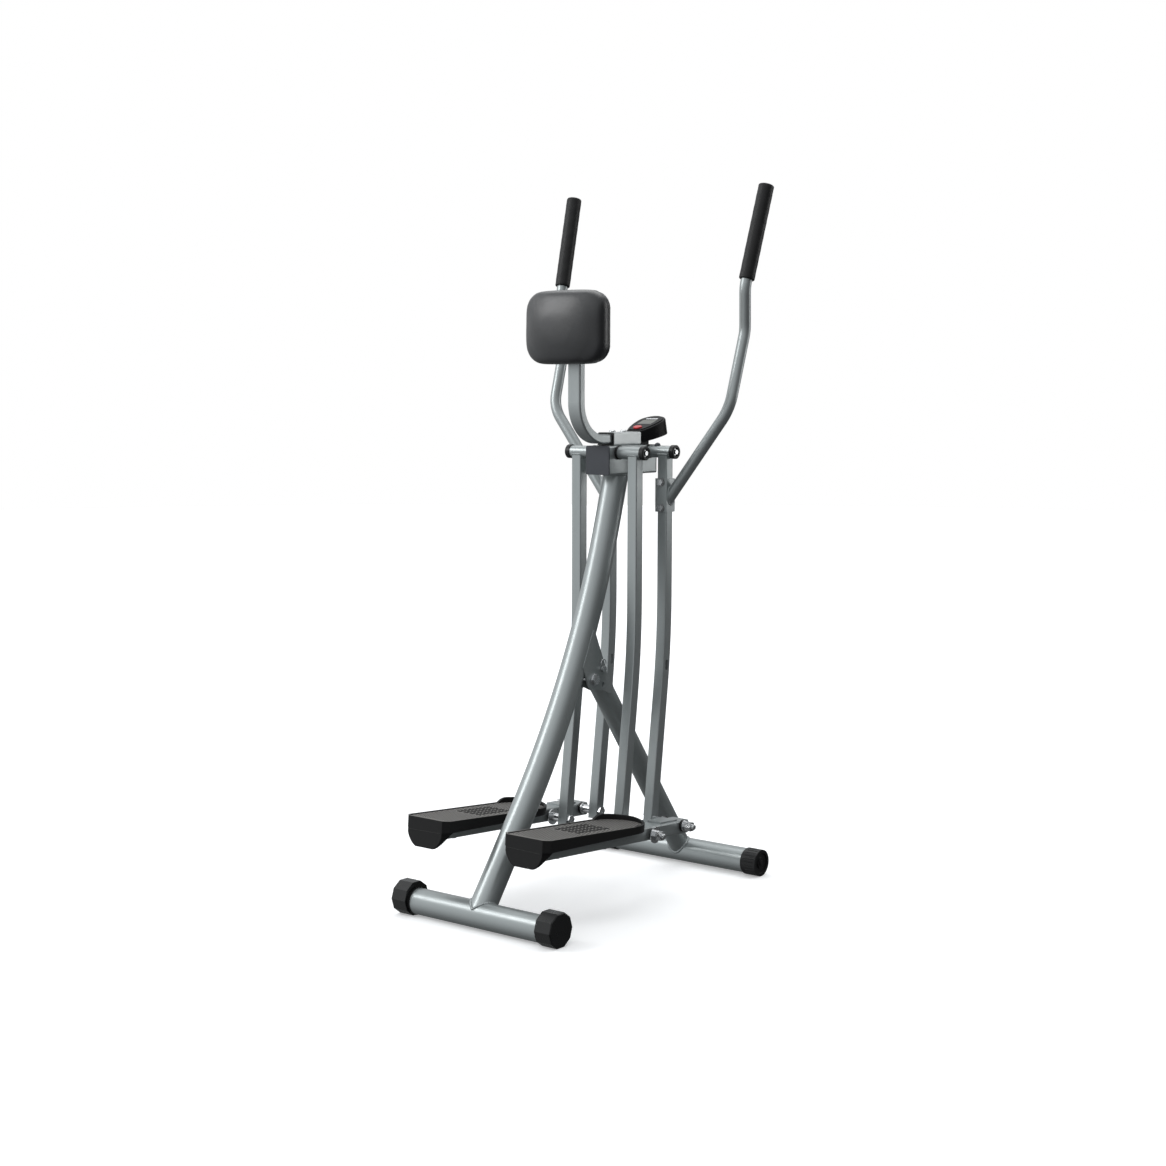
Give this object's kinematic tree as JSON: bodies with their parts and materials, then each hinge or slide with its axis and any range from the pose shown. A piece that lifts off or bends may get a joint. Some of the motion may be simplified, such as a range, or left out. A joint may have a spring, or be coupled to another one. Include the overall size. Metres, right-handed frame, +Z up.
{
  "type": "folding air walker",
  "caption": "Folding air walker: bent tube frame on base tubes, parallel swing arms with handlebars and footplates, a belly pad and a small console.",
  "frame": {"origin": "on the floor, midway between the rear caps' back and the rollers' front", "axes": "+X to the user's right, +Y the way the user faces, +Z up"},
  "size_m": [0.5726, 0.8028, 1.5757],
  "materials": {
    "frame_paint": "silver-grey metallic paint",
    "zinc_steel": "bright zinc",
    "black_plastic": "moulded black",
    "cap_plastic": "satin black",
    "footplate_plastic": "grained black",
    "slate_plastic": "dark slate",
    "grip_foam": "black foam",
    "pad_cover": "black leatherette",
    "pad_wood": "plywood",
    "console_plastic": "black",
    "console_glass": "dark display window",
    "button_plastic": "red",
    "board_resin": "green laminate",
    "cell_can": "cell can"
  },
  "bodies": {
    "frame": {"rear_base_tube": "frame_paint", "main_tube": "frame_paint", "head_box": "frame_paint", "head_end_plugs": "slate_plastic", "pivot_axles": "zinc_steel", "axle_end_bolts": "zinc_steel", "hinge_cheeks": "frame_paint", "hinge_bolt": "zinc_steel", "pad_post": "frame_paint", "post_socket": "frame_paint", "socket_liner": "black_plastic", "post_bolts": "zinc_steel", "pad_screws": "zinc_steel", "pad_plate": "frame_paint", "pad_board": "pad_wood", "pad_cushion": "pad_cover", "console_shell": "console_plastic", "console_tray": "console_plastic", "console_lens": "console_glass", "console_board": "board_resin", "console_cell": "cell_can"},
    "front_leg": {"front_leg_tube": "frame_paint", "front_base_tube": "frame_paint", "roller_hubs": "black_plastic", "roller_screws": "black_plastic"},
    "lock_pin": {"lock_pin": "zinc_steel"},
    "console_button": {"console_button": "button_plastic"},
    "right_roller": {"right_roller": "black_plastic"},
    "right_rear_cap": {"right_rear_cap": "cap_plastic"},
    "right_rear_arm": {"right_rear_arm": "frame_paint", "right_rear_arm_bushes": "black_plastic", "right_rear_pivot_bolt": "zinc_steel"},
    "right_front_arm": {"right_front_arm": "frame_paint", "right_front_arm_bushes": "black_plastic", "right_front_pivot_bolt": "zinc_steel", "right_handle_clamp": "frame_paint", "right_handle_clamp_bolts": "zinc_steel", "right_handlebar": "frame_paint", "right_grip": "grip_foam"},
    "right_pedal": {"right_pedal_bar": "frame_paint", "right_pedal_bushes": "black_plastic", "right_pedal_bolts": "zinc_steel", "right_footplate": "footplate_plastic"},
    "left_roller": {"left_roller": "black_plastic"},
    "left_rear_cap": {"left_rear_cap": "cap_plastic"},
    "left_rear_arm": {"left_rear_arm": "frame_paint", "left_rear_arm_bushes": "black_plastic", "left_rear_pivot_bolt": "zinc_steel"},
    "left_front_arm": {"left_front_arm": "frame_paint", "left_front_arm_bushes": "black_plastic", "left_front_pivot_bolt": "zinc_steel", "left_handle_clamp": "frame_paint", "left_handle_clamp_bolts": "zinc_steel", "left_handlebar": "frame_paint", "left_grip": "grip_foam"},
    "left_pedal": {"left_pedal_bar": "frame_paint", "left_pedal_bushes": "black_plastic", "left_pedal_bolts": "zinc_steel", "left_footplate": "footplate_plastic"}
  },
  "joints": [
    {"name": "front_leg_fold", "type": "hinge", "parent": "frame", "child": "front_leg", "pos_m": [0, -0.01108, 0.48905], "axis": [-1, 0, 0], "range_deg": [0, 62]},
    {"name": "lock_pin_pull", "type": "slide", "parent": "frame", "child": "lock_pin", "axis": [1, 0, 0], "range_m": [0, 0.015]},
    {"name": "console_button_press", "type": "slide", "parent": "frame", "child": "console_button", "axis": [0, 0.3256, -0.9455], "range_m": [0, 0.0012], "stiffness_N_per_m": 400, "springref_m": -0.001},
    {"name": "right_rear_arm_swing", "type": "hinge", "parent": "frame", "child": "right_rear_arm", "pos_m": [0, 0.07051, 0.98603], "axis": [1, 0, 0], "range_deg": [-27, 33]},
    {"name": "right_front_arm_swing", "type": "hinge", "parent": "frame", "child": "right_front_arm", "pos_m": [0, 0.18351, 0.98603], "axis": [1, 0, 0], "range_deg": [-27, 33]},
    {"name": "right_pedal_pivot", "type": "hinge", "parent": "right_rear_arm", "child": "right_pedal", "pos_m": [0, 0.02126, 0.15485], "axis": [1, 0, 0], "range_deg": [-33, 27]},
    {"name": "right_roller_spin", "type": "hinge", "parent": "front_leg", "child": "right_roller", "pos_m": [0, 0.37043, 0.031], "axis": [1, 0, 0], "continuous": true},
    {"name": "right_rear_cap_turn", "type": "hinge", "parent": "frame", "child": "right_rear_cap", "pos_m": [0, -0.36357, 0.0305], "axis": [1, 0, 0], "range_deg": [-72, 72]},
    {"name": "left_rear_arm_swing", "type": "hinge", "parent": "frame", "child": "left_rear_arm", "pos_m": [0, 0.07051, 0.98603], "axis": [1, 0, 0], "range_deg": [-27, 33]},
    {"name": "left_front_arm_swing", "type": "hinge", "parent": "frame", "child": "left_front_arm", "pos_m": [0, 0.18351, 0.98603], "axis": [1, 0, 0], "range_deg": [-27, 33]},
    {"name": "left_pedal_pivot", "type": "hinge", "parent": "left_rear_arm", "child": "left_pedal", "pos_m": [0, 0.02126, 0.15485], "axis": [1, 0, 0], "range_deg": [-33, 27]},
    {"name": "left_roller_spin", "type": "hinge", "parent": "front_leg", "child": "left_roller", "pos_m": [0, 0.37043, 0.031], "axis": [1, 0, 0], "continuous": true},
    {"name": "left_rear_cap_turn", "type": "hinge", "parent": "frame", "child": "left_rear_cap", "pos_m": [0, -0.36357, 0.0305], "axis": [1, 0, 0], "range_deg": [-72, 72]}
  ],
  "couplings": [
    {"joint": "right_front_arm_swing", "follows": "right_rear_arm_swing", "ratio": 1},
    {"joint": "right_pedal_pivot", "follows": "right_rear_arm_swing", "ratio": -1},
    {"joint": "left_front_arm_swing", "follows": "left_rear_arm_swing", "ratio": 1},
    {"joint": "left_pedal_pivot", "follows": "left_rear_arm_swing", "ratio": -1}
  ]
}
